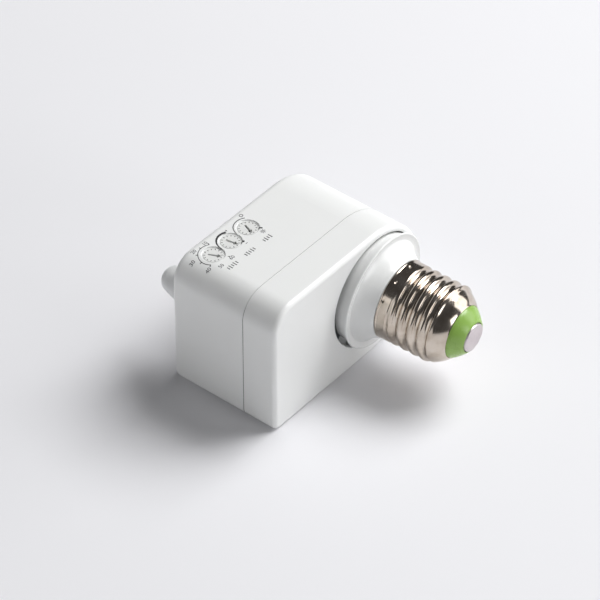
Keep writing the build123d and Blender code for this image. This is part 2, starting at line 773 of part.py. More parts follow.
# Screw cap shell: plain skirt, rolled thread as a true helix, domed end
skirt_plane = turn_plane.offset(skirt_start)
skirt_centre = skirt_plane.origin
shell_profile = Plane(origin=skirt_centre, x_dir=cap_axis, z_dir=profile_plane.z_dir)
skirt_inner = thread_crest - shell_wall
core_inner = thread_root - shell_wall
ridge_half = thread_pitch * 0.485
ridge_height = thread_crest - thread_root
thread_start = skirt_length + 1.3
with BuildPart() as cap_shell:
    with BuildSketch(shell_profile):
        with BuildLine():
            Line((0, skirt_inner), (0, thread_crest + 0.15))
            Line((0, thread_crest + 0.15), (0.5, thread_crest + 0.15))
            Spline(
                (0.5, thread_crest + 0.15),
                (skirt_length, thread_crest),
                (skirt_length + 0.9, thread_root + 0.05),
                tangents=((1, 0), (1, 0)),
            )
            Line((skirt_length + 0.9, thread_root + 0.05), (thread_end - 0.8, thread_root + 0.05))
            Spline(
                (thread_end - 0.8, thread_root + 0.05),
                (thread_end, thread_crest - 0.1),
                (thread_end + 2.5, thread_crest - 1.5),
                (insulator_start, insulator_radius),
                tangents=((1, 0), (0.6, -1)),
            )
            Line((insulator_start, insulator_radius), (insulator_start - 0.4, insulator_radius - shell_wall))
            Line((insulator_start - 0.4, insulator_radius - shell_wall), (thread_end + 0.2, core_inner - 0.4))
            Line((thread_end + 0.2, core_inner - 0.4), (spigot_length + 0.1, core_inner - 0.4))
            Line((spigot_length + 0.1, core_inner - 0.4), (spigot_length + 0.1, skirt_inner))
            Line((spigot_length + 0.1, skirt_inner), (0, skirt_inner))
        make_face()
    revolve(axis=turn_axis)
    thread_turns = Helix(
        thread_pitch,
        thread_end - thread_start + 0.3,
        thread_root,
        center=skirt_centre + cap_axis * thread_start,
        direction=cap_axis,
        mode=Mode.PRIVATE,
    )
    ridge_start = thread_turns @ 0
    ridge_out = ridge_start - (skirt_centre + cap_axis * thread_start)
    with BuildSketch(Plane(ridge_start, x_dir=ridge_out, z_dir=thread_turns % 0)):
        with BuildLine():
            Spline(
                (0, -ridge_half),
                (ridge_height * 0.5, -ridge_half * 0.5),
                (ridge_height, 0),
                (ridge_height * 0.5, ridge_half * 0.5),
                (0, ridge_half),
                tangents=((0.05, 1), (-0.05, 1)),
            )
            Polyline((0, ridge_half), (-0.3, ridge_half), (-0.3, -ridge_half), (0, -ridge_half))
        make_face()
    sweep(path=thread_turns, is_frenet=True)
cap_shell.part.label = "cap_shell"
export_step(cap_shell.part, "parts/cap_shell.step")

with BuildPart() as cap_insulator:
    with BuildSketch(shell_profile):
        with BuildLine():
            Polyline(
                (insulator_start, insulator_radius),
                (insulator_start + 0.35, insulator_radius),
                (contact_start, contact_radius + 0.25),
                (contact_start, 1.25),
                (insulator_start - 2.4, 1.25),
                (insulator_start - 2.4, insulator_radius - 0.9),
                (insulator_start - 0.4, insulator_radius - shell_wall),
                close=True,
            )
        make_face()
    revolve(axis=turn_axis)
cap_insulator.part.label = "cap_insulator"
export_step(cap_insulator.part, "parts/cap_insulator.step")

with BuildPart() as cap_contact:
    with BuildSketch(shell_profile):
        with BuildLine():
            Polyline(
                (insulator_start - 3.4, 0),
                (insulator_start - 3.4, 1.8),
                (insulator_start - 2.4, 1.8),
                (insulator_start - 2.4, 1.2),
                (contact_start, 1.2),
                (contact_start, contact_radius),
                (contact_start + contact_thickness - 0.3, contact_radius),
                (contact_start + contact_thickness, contact_radius - 0.5),
                (contact_start + contact_thickness, 0),
                close=True,
            )
        make_face()
    revolve(axis=turn_axis)
cap_contact.part.label = "cap_contact"
export_step(cap_contact.part, "parts/cap_contact.step")
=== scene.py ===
"""Looks of the motion sensor lamp holder, laid out as an add-on and run as a script."""

import math

import bmesh
import bpy
from mathutils import Matrix, Vector


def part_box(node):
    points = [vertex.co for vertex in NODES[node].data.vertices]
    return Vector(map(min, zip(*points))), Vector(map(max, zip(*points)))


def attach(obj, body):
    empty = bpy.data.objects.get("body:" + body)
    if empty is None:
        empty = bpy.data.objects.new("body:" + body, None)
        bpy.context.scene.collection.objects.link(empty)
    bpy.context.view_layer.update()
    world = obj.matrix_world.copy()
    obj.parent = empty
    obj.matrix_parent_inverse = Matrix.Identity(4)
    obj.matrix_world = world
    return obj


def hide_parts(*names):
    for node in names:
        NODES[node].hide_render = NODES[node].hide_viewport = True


bl_info = {
    "name": "Motion sensor lamp holder",
    "version": (1, 0, 0),
    "blender": (4, 5, 0),
    "location": "View3D > Sidebar > Lamp holder",
    "description": "Finishes and fine pieces of a motion sensor lamp holder",
    "category": "Object",
}

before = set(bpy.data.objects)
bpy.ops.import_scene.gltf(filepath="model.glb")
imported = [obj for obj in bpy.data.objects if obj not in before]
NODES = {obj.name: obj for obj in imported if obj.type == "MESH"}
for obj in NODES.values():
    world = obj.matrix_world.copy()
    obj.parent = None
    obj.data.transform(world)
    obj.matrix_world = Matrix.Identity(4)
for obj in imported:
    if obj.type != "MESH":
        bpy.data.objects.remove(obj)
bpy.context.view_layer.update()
MM = 0.001

# Places that the part's source shares, in millimetres
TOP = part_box("rear_housing")[1].z / MM
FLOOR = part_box("rear_housing")[0].z / MM
TOP_CORNER = 8.5
TOP_FLAT_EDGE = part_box("rear_housing")[0].y / MM + TOP_CORNER
SEAM = 28.275
PIVOT = Vector((34.55, 1.0, 0.8))
HINGE_LEAN = math.radians(38.8)
REST_TILT = math.radians(3.66)
HINGE = Vector((0.0, math.sin(HINGE_LEAN), math.cos(HINGE_LEAN)))
CAP_AXIS = Matrix.Rotation(REST_TILT, 3, HINGE) @ Vector((1.0, 0.0, 0.0))
CAP_UP = (Vector((0.0, 0.0, 1.0)) - CAP_AXIS * CAP_AXIS.z).normalized()
CAP_SIDE = CAP_AXIS.cross(CAP_UP)
SKIRT_EDGE = PIVOT + CAP_AXIS * 14.4
DIAL_PLACES = {
    "time_dial": (8.0, -37.4),
    "sensitivity_dial": (8.0, -29.3),
    "light_dial": (8.0, -21.2),
}
DIAL_TURNS = {"time_dial": 26.0, "sensitivity_dial": 11.0, "light_dial": -21.0}

# The screw cap, in millimetres along its axis from the skirt's edge and out from that axis
EDGE_ROLL = 0.6
SKIRT_LENGTH = 3.4
THREAD_END = 18.3
RUN_OUT = 1.3
PRESS_REACH = 1.4
SEAT = 23.2
SEAT_RADIUS = 8.9
SHOULDER = 0.5
DOME_START, DOME_END = math.radians(25), math.radians(52)
STEP_IN = 2.1
SKIRT_INSIDE = 12.65
THREAD_INSIDE = 11.25
LEAD_BORE = 1.3
CONTACT_TOP = SEAT + 4.75
THREAD_ROWS = 200
DOME_ROWS = 40

# Staking marks in the skirt: place along the axis, and place round it in turns
STAKING_MARKS = [
    (1.8, 24 / 360),
    (1.8, -9 / 360),
    (1.1, 55 / 360),
    (1.8, 144 / 360),
    (1.8, 264 / 360),
]
STAKING_START, STAKING_EDGE = 0.1, 0.5

# Print by the dials: directions are in degrees from +X, seen from above
TIME_NUMBERS = (
    ("10", (2.9, -35.2)),
    ("20", (2.7, -40.2)),
    ("30", (5.0, -43.6)),
    ("40", (11.0, -43.2)),
    ("50", (13.3, -39.9)),
    ("60", (13.3, -34.9)),
)
NUMBER_HEIGHT = 1.3
TIME_ARC = (146, 300)
TIME_STROKES = (146, 184, 222, 262, 300, 28)
WEDGE_START, WEDGE_STEP, WEDGE_STEPS = 150, 15.5, 8
LIGHT_ARC = (141, 262)
END_MARK = 36
BAR_COUNTS = {"time_dial": 5, "sensitivity_dial": 5, "light_dial": 4}
BAR_DISTANCE = 7.75
BAR_SPACING = 0.95
BAR_LENGTHS = (1.2, 1.7)
BAR_WIDTH = 0.32
DIAL_TICKS = 14
DIAL_FACE = TOP - 0.3
LIP_RADIUS, LIP_WIDTH = 3.42, 0.28

# The photograph's camera, with its focal length in pixels
CAMERA_PLACE = Vector((0.547193, -0.656795, 0.733201))
CAMERA_BACK = Vector((0.472636, -0.579138, 0.664239))
CAMERA_RIGHT = Vector((0.774746, 0.632273, 0.0))
FOCAL_PIXELS = 3610
PICTURE_PIXELS = 600
SENSOR_WIDTH = 36.0

# Sockets of the Mix node in its colour mode
MIX_FACTOR, MIX_UNDER, MIX_OVER, MIX_RESULT = 0, 6, 7, 2


def linear(hex_text):
    """Linear RGBA of an sRGB hex colour."""
    out = []
    for i in (1, 3, 5):
        c = int(hex_text[i : i + 2], 16) / 255
        out.append(c / 12.92 if c <= 0.04045 else ((c + 0.055) / 1.055) ** 2.4)
    return (*out, 1.0)


def add_node(tree, kind, settings=None, links=None):
    """Adds a node: settings are attributes or input values, links are output sockets by input."""
    node = tree.nodes.new(kind)
    for key, value in (settings or {}).items():
        if isinstance(key, str) and hasattr(node, key):
            setattr(node, key, value)
        else:
            node.inputs[key].default_value = value
    for key, socket in (links or {}).items():
        tree.links.new(socket, node.inputs[key])
    return node


def new_finish(name, **sockets):
    """A material with its shader's sockets set, with its tree, shader and object coordinates."""
    material = bpy.data.materials.new(name)
    material.use_nodes = True
    tree = material.node_tree
    shader = tree.nodes["Principled BSDF"]
    for key, value in sockets.items():
        shader.inputs[key.replace("_", " ")].default_value = value
    where = add_node(tree, "ShaderNodeTexCoord").outputs["Object"]
    return material, tree, shader, where


def noise(tree, where, size_mm, detail, **settings):
    """A noise whose patches are about size_mm across."""
    settings = {"Scale": 1 / (size_mm * MM), "Detail": detail, **settings}
    return add_node(tree, "ShaderNodeTexNoise", settings, {"Vector": where}).outputs["Fac"]


def ramp(tree, factor, *stops):
    """Colour by a factor, from (place, colour) stops."""
    node = add_node(tree, "ShaderNodeValToRGB", links={"Fac": factor})
    elements = node.color_ramp.elements
    while len(elements) > 1:
        elements.remove(elements[-1])
    elements[0].position, elements[0].color = stops[0]
    for place, shade in stops[1:]:
        elements.new(place).color = shade
    return node.outputs["Color"]


def spread(tree, value, low, high, to_low, to_high):
    """Maps the range low to high onto to_low to to_high."""
    settings = {"From Min": low, "From Max": high, "To Min": to_low, "To Max": to_high}
    return add_node(tree, "ShaderNodeMapRange", settings, {"Value": value}).outputs["Result"]


def cover(tree, factor, under, hex_text):
    """Lays a plain colour over another by a factor."""
    settings = {"data_type": "RGBA", MIX_OVER: linear(hex_text)}
    links = {MIX_FACTOR: factor, MIX_UNDER: under}
    return add_node(tree, "ShaderNodeMix", settings, links).outputs[MIX_RESULT]


def set_bump(tree, shader, height, strength, depth_mm):
    """Gives the shader a bump."""
    settings = {"Strength": strength, "Distance": depth_mm * MM}
    bump = add_node(tree, "ShaderNodeBump", settings, {"Height": height})
    tree.links.new(bump.outputs["Normal"], shader.inputs["Normal"])


def seam_painted_shade(tree, where, seam_mm):
    """Mask of painted shade in a seam across X, which lies low down only."""
    place = add_node(tree, "ShaderNodeSeparateXYZ", links={"Vector": where})
    in_seam = add_node(
        tree,
        "ShaderNodeMath",
        {"operation": "COMPARE", 1: seam_mm * MM, 2: 0.1 * MM},
        {0: place.outputs["X"]},
    )
    low_down = spread(tree, place.outputs["Z"], 20 * MM, 12 * MM, 0.0, 0.9)
    links = {0: in_seam.outputs["Value"], 1: low_down}
    return add_node(tree, "ShaderNodeMath", {"operation": "MULTIPLY"}, links).outputs["Value"]


def moulded_abs(name, base, shade, roughness, grain=0.05, dirt=0.0, seam_mm=None):
    """Injection-moulded plastic: glossy, faint orange peel, grey specks and painted shade low in a
    seam.
    """
    material, tree, shader, where = new_finish(
        name,
        IOR=1.53,
        Roughness=roughness,
        Subsurface_Weight=0.05,
        Subsurface_Radius=(0.9, 0.9, 0.8),
        Subsurface_Scale=0.0012,
    )
    tone = ramp(tree, noise(tree, where, 14, 3.0), (0.3, linear(shade)), (0.7, linear(base)))
    specks = noise(tree, where, 1.1, 2.0, Roughness=0.7)
    speck_mask = ramp(tree, specks, (0.76, (0, 0, 0, 1)), (0.84, (dirt, dirt, dirt, 1)))
    colour = cover(tree, speck_mask, tone, "#7C7468")
    if seam_mm is not None:
        # Painted shade: a dark brown-grey laid into the seam, low down only
        colour = cover(tree, seam_painted_shade(tree, where, seam_mm), colour, "#3E3B36")
    tree.links.new(colour, shader.inputs["Base Color"])
    smear = noise(tree, where, 6, 5.0)
    rough = spread(tree, smear, 0.3, 0.75, roughness, roughness + 0.03)
    tree.links.new(rough, shader.inputs["Roughness"])
    set_bump(tree, shader, noise(tree, where, 0.35, 2.0), grain, 0.02)
    return material


def plain_finish(name, base, shade, roughness, metallic=0.0, depth_mm=0.02, strength=0.3, **extra):
    """A finish between two shades, whose roughness and bump follow a fine grain."""
    material, tree, shader, where = new_finish(
        name, Roughness=roughness, Metallic=metallic, **extra
    )
    tone = ramp(tree, noise(tree, where, 5, 4.0), (0.32, linear(shade)), (0.68, linear(base)))
    tree.links.new(tone, shader.inputs["Base Color"])
    grain = noise(tree, where, 0.3, 3.0)
    rough = spread(tree, grain, 0.3, 0.7, roughness * 0.8, min(1.0, roughness * 1.25))
    tree.links.new(rough, shader.inputs["Roughness"])
    set_bump(tree, shader, grain, strength, depth_mm)
    return material


def rolled_nickel(name):
    """Nickel plated brass, rolled: polished, with fine lines round the axis and a faint haze."""
    material, tree, shader, where = new_finish(name, Metallic=1.0, Roughness=0.13)
    turned = add_node(
        tree,
        "ShaderNodeMapping",
        {
            "vector_type": "POINT",
            "Rotation": (0.0, CAP_AXIS.z, -CAP_AXIS.y),
            "Scale": (1.0, 0.03, 0.03),
        },
        {"Vector": where},
    )
    drawn = noise(tree, turned.outputs["Vector"], 0.16, 2.0)
    haze = noise(tree, where, 4, 5.0)
    tone = ramp(
        tree,
        haze,
        (0.3, linear("#B8AB9D")),
        (0.55, linear("#CDC2B6")),
        (0.8, linear("#D4CBC2")),
    )
    tree.links.new(tone, shader.inputs["Base Color"])
    tree.links.new(spread(tree, haze, 0.3, 0.8, 0.11, 0.2), shader.inputs["Roughness"])
    set_bump(tree, shader, drawn, 0.12, 0.006)
    return material


def facet_lens(name):
    """Moulded polyethylene lens: milky, thin, with shallow honeycomb lens facets."""
    material, tree, shader, where = new_finish(
        name,
        IOR=1.51,
        Roughness=0.38,
        Subsurface_Weight=0.5,
        Subsurface_Radius=(1.0, 1.0, 1.0),
        Subsurface_Scale=0.0016,
    )
    settings = {"feature": "SMOOTH_F1", "Scale": 1 / (2.6 * MM)}
    facets = add_node(tree, "ShaderNodeTexVoronoi", settings, {"Vector": where})
    facet = facets.outputs["Distance"]
    tone = ramp(tree, facet, (0.1, linear("#ECEDED")), (0.7, linear("#E4E6E6")))
    tree.links.new(tone, shader.inputs["Base Color"])
    set_bump(tree, shader, facet, 0.35, 0.12)
    return material


def board_laminate(name):
    """Glass fibre laminate: green solder resist over a weave, with paler copper tracks under it."""
    material, tree, shader, where = new_finish(name, IOR=1.55, Roughness=0.35)
    settings = {"Scale": 1 / (3.2 * MM), "Distortion": 0.4}
    weave = add_node(tree, "ShaderNodeTexWave", settings, {"Vector": where})
    tracks = add_node(
        tree,
        "ShaderNodeTexBrick",
        {
            "Scale": 1 / (9 * MM),
            "Mortar Size": 0.03,
            "Color1": linear("#1F6B3C"),
            "Color2": linear("#236F42"),
            "Mortar": linear("#3C8F5A"),
        },
        {"Vector": where},
    )
    tree.links.new(tracks.outputs["Color"], shader.inputs["Base Color"])
    set_bump(tree, shader, weave.outputs["Fac"], 0.2, 0.03)
    return material


def make_finishes():
    """Makes every finish of the lamp holder and returns them by name."""
    metal = {"metallic": 1.0, "depth_mm": 0.008}
    finishes = (
        moulded_abs("housing_abs", "#EFF0EF", "#EEEFEE", 0.33, grain=0.0, seam_mm=SEAM),
        moulded_abs("collar_abs", "#ECEDEC", "#EAEBEA", 0.2, grain=0.01, dirt=0.1),
        moulded_abs("dial_abs", "#E8E9E7", "#E3E4E2", 0.3, dirt=0.2),
        plain_finish("ink", "#2E2E30", "#39393B", 0.45, strength=0.1),
        rolled_nickel("nickel"),
        # Grey ink for marks and ticks, also used as painted shade on the dial slot floors
        plain_finish("grey_ink_and_slot_shade", "#454548", "#525255", 0.5, strength=0.1),
        moulded_abs("green", "#93B95A", "#8BB152", 0.26),
        plain_finish("contact", "#DED6D8", "#D2C9CC", 0.42, metallic=1.0, depth_mm=0.01),
        facet_lens("lens"),
        plain_finish("window", "#C9CFD4", "#BFC6CC", 0.12, IOR=1.58),
        plain_finish("zinc", "#C9CACC", "#B7B8BC", 0.3, **metal),
        plain_finish("brass", "#D8B56A", "#C9A257", 0.25, **metal),
        plain_finish("barrel", "#E9E7E0", "#E2E0D8", 0.45),
        board_laminate("board"),
        plain_finish("trimmer", "#3C63A8", "#345899", 0.45),
        plain_finish("relay", "#2C5EA6", "#27559A", 0.3),
        plain_finish("film", "#D9A43A", "#CE9A32", 0.35),
        plain_finish("sleeve", "#2B2D33", "#24262B", 0.35),
        plain_finish("epoxy", "#232325", "#1C1C1E", 0.5),
        plain_finish("ceramic", "#7FA9B8", "#739CAB", 0.4),
        plain_finish("can", "#C7C5C2", "#B8B5B1", 0.25, **metal),
        plain_finish("cell", "#C98A54", "#BC7F4B", 0.35),
        plain_finish("acetal", "#E3E1DA", "#DAD8D0", 0.4),
        plain_finish("spring", "#A9AAAD", "#97989C", 0.3, **metal),
    )
    return {finish.name: finish for finish in finishes}


NODE_FINISHES = {
    "rear_housing": "housing_abs",
    "front_cover": "housing_abs",
    "housing_screws": "zinc",
    "socket_body": "barrel",
    "socket_screws": "zinc",
    "socket_shell": "brass",
    "socket_tongue": "brass",
    "main_board": "board",
    "sensor_board": "board",
    "trimmers": "trimmer",
    "time_dial": "dial_abs",
    "sensitivity_dial": "dial_abs",
    "light_dial": "dial_abs",
    "relay": "relay",
    "film_capacitor": "film",
    "electrolytic_capacitor": "sleeve",
    "controller_chip": "epoxy",
    "rectifier": "epoxy",
    "fuse_resistor": "ceramic",
    "pir_sensor": "can",
    "light_cell": "cell",
    "light_window": "window",
    "sensor_lens": "lens",
    "carrier_ring": "acetal",
    "wave_washer": "spring",
    "swivel_collar": "collar_abs",
    "collar_clip": "spring",
    "cap_shell": "nickel",
    "cap_insulator": "green",
    "cap_contact": "contact",
}


def finish_piece(mesh_builder, name, finish, body, replaces=(), smooth=40.0):
    """Turns a bmesh in millimetres into an object in metres that rides on a body."""
    bmesh.ops.remove_doubles(mesh_builder, verts=mesh_builder.verts, dist=1e-4)
    bmesh.ops.recalc_face_normals(mesh_builder, faces=mesh_builder.faces)
    bmesh.ops.scale(mesh_builder, vec=(MM, MM, MM), verts=mesh_builder.verts)
    mesh = bpy.data.meshes.new(name)
    mesh_builder.to_mesh(mesh)
    mesh_builder.free()
    mesh.shade_smooth()
    mesh.set_sharp_from_angle(angle=math.radians(smooth))
    piece = bpy.data.objects.new(name, mesh)
    bpy.context.scene.collection.objects.link(piece)
    mesh.materials.append(bpy.data.materials[finish])
    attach(piece, body)
    if replaces:
        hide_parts(*replaces)


def spin_round_cap(builder, points, closed, steps):
    """Spins (along, out) points round the cap's axis; closed joins the last to the first."""
    verts = [builder.verts.new(SKIRT_EDGE + CAP_AXIS * t + CAP_UP * r) for t, r in points]
    edges = [builder.edges.new(pair) for pair in zip(verts, verts[1:])]
    if closed:
        edges.append(builder.edges.new((verts[-1], verts[0])))
    bmesh.ops.spin(
        builder,
        geom=verts + edges,
        cent=SKIRT_EDGE,
        axis=CAP_AXIS,
        dvec=(0, 0, 0),
        angle=math.tau,
        steps=steps,
        use_merge=True,
        use_duplicate=False,
    )


def fade(x, low, high):
    """0 below low, 1 above high, smooth between."""
    x = min(1.0, max(0.0, (x - low) / (high - low)))
    return x * x * (3 - 2 * x)


def thread_depth(from_crest, pitch, round_radius):
    """Depth below the crest of a thread made of two arcs and a short straight flank."""
    slope = math.radians(55)
    reach = round_radius * math.sin(slope)
    sag = round_radius * (1 - math.cos(slope))
    flank = pitch / 2 - 2 * reach
    if from_crest <= reach:
        return round_radius - math.sqrt(round_radius**2 - from_crest**2)
    if from_crest <= reach + flank:
        return sag + (from_crest - reach) * math.tan(slope)
    from_root = pitch / 2 - from_crest
    root = 2 * sag + flank * math.tan(slope)
    return root - round_radius + math.sqrt(round_radius**2 - from_root**2)


def shell_outside(crest):
    """Section of the cap shell's outside: rolled edge, rows for the thread, dome and seat."""
    points = [
        (0.05, crest - 0.35),
        (0.0, crest - 0.05),
        (0.02, crest + 0.1),
        (0.2, crest + 0.14),
        (0.4, crest + 0.08),
    ]
    for i in range(THREAD_ROWS + 1):
        points.append((EDGE_ROLL + (THREAD_END - EDGE_ROLL) * i / THREAD_ROWS, crest))
    whole_along = math.sin(DOME_END) - math.sin(DOME_START)
    whole_drop = math.cos(DOME_START) - math.cos(DOME_END)
    for i in range(1, DOME_ROWS + 1):
        angle = DOME_START + (DOME_END - DOME_START) * i / DOME_ROWS
        along = (math.sin(angle) - math.sin(DOME_START)) / whole_along
        drop = (math.cos(DOME_START) - math.cos(angle)) / whole_drop
        t = THREAD_END + (SEAT - THREAD_END) * along
        r = crest - SHOULDER - (crest - SHOULDER - SEAT_RADIUS - 0.12) * drop
        points.append((t, r + SHOULDER * (1 - fade(t, THREAD_END, THREAD_END + RUN_OUT))))
    return points + [(SEAT + 0.14, SEAT_RADIUS + 0.02), (SEAT + 0.1, SEAT_RADIUS - 0.12)]


def shell_inside():
    """Section of the cap shell's inside, from the seat back to the rolled edge."""
    return [
        (SEAT - 0.35, SEAT_RADIUS - 0.4),
        (THREAD_END + 0.2, THREAD_INSIDE),
        (STEP_IN, THREAD_INSIDE),
        (STEP_IN, SKIRT_INSIDE),
        (0.2, SKIRT_INSIDE),
    ]


def press_thread(shell, settings):
    """Presses the helical groove and the staking marks into the spun shell."""
    crest, pitch = settings.crest, settings.pitch
    for vert in shell.verts:
        offset = vert.co - SKIRT_EDGE
        t = offset.dot(CAP_AXIS)
        radial = offset - CAP_AXIS * t
        if radial.length < crest - PRESS_REACH or t > THREAD_END + RUN_OUT:
            continue
        turn = math.atan2(radial.dot(CAP_SIDE), radial.dot(CAP_UP)) / math.tau
        from_crest = abs((t / pitch - turn - settings.phase + 0.5) % 1.0 - 0.5) * pitch
        press = fade(t, SKIRT_LENGTH - 0.1, SKIRT_LENGTH + RUN_OUT)
        press *= 1 - fade(t, THREAD_END - 0.3, THREAD_END + RUN_OUT)
        depth = thread_depth(from_crest, pitch, settings.round) * press
        for mark_along, mark_turn in STAKING_MARKS:
            round_by = (turn - mark_turn + 0.5) % 1.0 - 0.5
            away = math.hypot(t - mark_along, round_by * math.tau * crest)
            depth += settings.prick * (1 - fade(away, STAKING_START, STAKING_EDGE))
        vert.co -= radial.normalized() * depth


class ScrewCapSettings(bpy.types.PropertyGroup):
    """Sizes of the rolled screw cap, in millimetres."""

    pitch: bpy.props.FloatProperty(
        name="Thread pitch", description="Advance of one turn", default=25.4 / 7
    )
    crest: bpy.props.FloatProperty(
        name="Crest radius", description="Outside radius of the thread", default=13.1
    )
    round: bpy.props.FloatProperty(
        name="Thread round", description="Radius of crest and root", default=1.025
    )
    phase: bpy.props.FloatProperty(
        name="Thread start", description="Turn at which a crest meets the edge", default=0.13
    )
    around: bpy.props.IntProperty(
        name="Segments", description="Faces round the shell", default=300, min=24
    )
    prick: bpy.props.FloatProperty(
        name="Prick depth", description="Depth of a staking mark", default=0.4
    )


class BoxSettings(bpy.types.PropertyGroup):
    """Sizes of the printing on the box, in millimetres."""

    scale_radius: bpy.props.FloatProperty(
        name="Scale radius", description="Middle of a printed dial scale", default=4.55
    )
    line: bpy.props.FloatProperty(
        name="Line width", description="Width of a printed line", default=0.27
    )
    film: bpy.props.FloatProperty(
        name="Ink thickness", description="Height of the print", default=0.02
    )


class StageSettings(bpy.types.PropertyGroup):
    """Floor and light."""

    floor_colour: bpy.props.FloatVectorProperty(
        name="Floor colour",
        description="Paper sweep",
        subtype="COLOR",
        default=linear("#EEEEF1")[:3],
        size=3,
    )
    key: bpy.props.FloatProperty(
        name="Key light", description="Power of the key light", default=37.0, unit="POWER"
    )
    softbox: bpy.props.FloatProperty(
        name="Softbox", description="Power of the low softbox", default=8.3, unit="POWER"
    )
    front_panel: bpy.props.FloatProperty(
        name="Front panel",
        description="Power of the panel before the cap",
        default=2.8,
        unit="POWER",
    )
    side_panel: bpy.props.FloatProperty(
        name="Side panel",
        description="Power of the panel beside the dials",
        default=3.2,
        unit="POWER",
    )
    fill: bpy.props.FloatProperty(
        name="Room light", description="Strength of the room", default=0.08
    )


class LAMPHOLDER_OT_finishes(bpy.types.Operator):
    """Gives every CAD node its finish"""

    bl_idname = "lampholder.finishes"
    bl_label = "Finish the solids"

    def execute(self, context):
        """Assigns a material to each node."""
        materials = make_finishes()
        for node, finish in NODE_FINISHES.items():
            mesh = NODES[node].data
            mesh.materials.clear()
            mesh.materials.append(materials[finish])
        return {"FINISHED"}


class LAMPHOLDER_OT_screw_cap(bpy.types.Operator):
    """Builds the rolled shell, insulator and contact of the screw cap"""

    bl_idname = "lampholder.screw_cap"
    bl_label = "Screw cap"

    def execute(self, context):
        """Spins each section round the cap's axis, and presses the thread into the shell."""
        settings = context.scene.lampholder_cap
        shell = bmesh.new()
        section = shell_outside(settings.crest) + shell_inside()
        spin_round_cap(shell, section, True, settings.around)
        press_thread(shell, settings)
        finish_piece(
            shell, "cap_shell_rolled", "nickel", "screw_cap", ("cap_shell",), 60
        )

        insulator = bmesh.new()
        section = [
            (SEAT - 0.35, SEAT_RADIUS - 0.45),
            (SEAT + 0.02, SEAT_RADIUS - 0.14),
            (SEAT + 0.3, SEAT_RADIUS - 0.16),
            (SEAT + 1.4, 7.95),
            (SEAT + 2.8, 6.7),
            (SEAT + 3.9, 5.55),
            (SEAT + 4.12, 5.25),
            (SEAT + 4.12, 5.0),
            (SEAT + 3.9, 4.95),
            (SEAT + 3.32, 4.93),
            (SEAT + 3.3, LEAD_BORE),
            (SEAT - 2.3, LEAD_BORE),
            (SEAT - 2.3, 8.0),
        ]
        spin_round_cap(insulator, section, True, 120)
        finish_piece(
            insulator,
            "cap_insulator_moulded",
            "green",
            "screw_cap",
            ("cap_insulator",),
            50,
        )

        contact = bmesh.new()
        section = [
            (CONTACT_TOP, 0.0),
            (CONTACT_TOP - 0.02, 2.6),
            (CONTACT_TOP - 0.06, 4.3),
            (CONTACT_TOP - 0.16, 4.58),
            (CONTACT_TOP - 0.36, 4.7),
            (CONTACT_TOP - 1.4, 4.72),
            (CONTACT_TOP - 1.42, 1.2),
            (SEAT - 2.4, 1.2),
            (SEAT - 2.4, 1.8),
            (SEAT - 3.3, 1.8),
            (SEAT - 3.3, 0.0),
        ]
        spin_round_cap(contact, section, False, 96)
        finish_piece(
            contact,
            "cap_contact_disc",
            "contact",
            "screw_cap",
            ("cap_contact",),
            50,
        )
        return {"FINISHED"}


def flat_ring(builder, centre, radius, line, start, end, low, high):
    """Arc-shaped line between two angles in degrees, as a thin closed solid."""
    whole = end - start >= 360
    steps = max(12 if whole else 3, int(abs(end - start) / 5))
    inside, outside = radius - line / 2, radius + line / 2
    corners = [(inside, low), (outside, low), (outside, high), (inside, high)]
    middle = Vector((centre[0], centre[1], 0))
    first = math.radians(start)
    way = Vector((math.cos(first), math.sin(first), 0))
    verts = [builder.verts.new(middle + way * r + Vector((0, 0, z))) for r, z in corners]
    if whole:
        geometry = verts + [builder.edges.new((verts[i - 1], verts[i])) for i in range(4)]
    else:
        geometry = [builder.faces.new(verts)]
    bmesh.ops.spin(
        builder,
        geom=geometry,
        cent=middle,
        axis=(0, 0, 1),
        dvec=(0, 0, 0),
        angle=math.radians(end - start),
        steps=steps,
        use_merge=whole,
        use_duplicate=False,
    )


def flat_bar(builder, centre, size, turn, low, high):
    """Small bar on a level surface, turned about Z by degrees."""
    matrix = (
        Matrix.Translation((centre[0], centre[1], (low + high) / 2))
        @ Matrix.Rotation(math.radians(turn), 4, "Z")
        @ Matrix.Diagonal((size[0], size[1], high - low, 1.0))
    )
    bmesh.ops.create_cube(builder, size=1.0, matrix=matrix)


def plain_number(builder, text, centre, low, high):
    """A plain number on a level surface, read from +X, as a thin solid."""
    curve = bpy.data.curves.new("number", "FONT")
    curve.body = text
    curve.align_x = "CENTER"
    curve.align_y = "CENTER"
    curve.size = NUMBER_HEIGHT / 0.7
    curve.resolution_u = 3
    curve.extrude = (high - low) / 2
    holder = bpy.data.objects.new("number", curve)
    mesh = bpy.data.meshes.new_from_object(holder)
    place = Matrix.Translation((centre[0], centre[1], (low + high) / 2))
    mesh.transform(place @ Matrix.Rotation(math.radians(90), 4, "Z"))
    builder.from_mesh(mesh)
    bpy.data.objects.remove(holder)
    bpy.data.curves.remove(curve)
    bpy.data.meshes.remove(mesh)


def drape(builder):
    """Lowers print that reaches over the box's rounded top edge onto the rounding."""
    for vert in builder.verts:
        beyond = TOP_FLAT_EDGE - vert.co.y
        if beyond > 0:
            vert.co.z -= TOP_CORNER - math.sqrt(TOP_CORNER**2 - beyond**2)


def about(place, radius, degrees):
    """Point at a radius and an angle from a place, seen from above."""
    angle = math.radians(degrees)
    return (place[0] + radius * math.cos(angle), place[1] + radius * math.sin(angle))


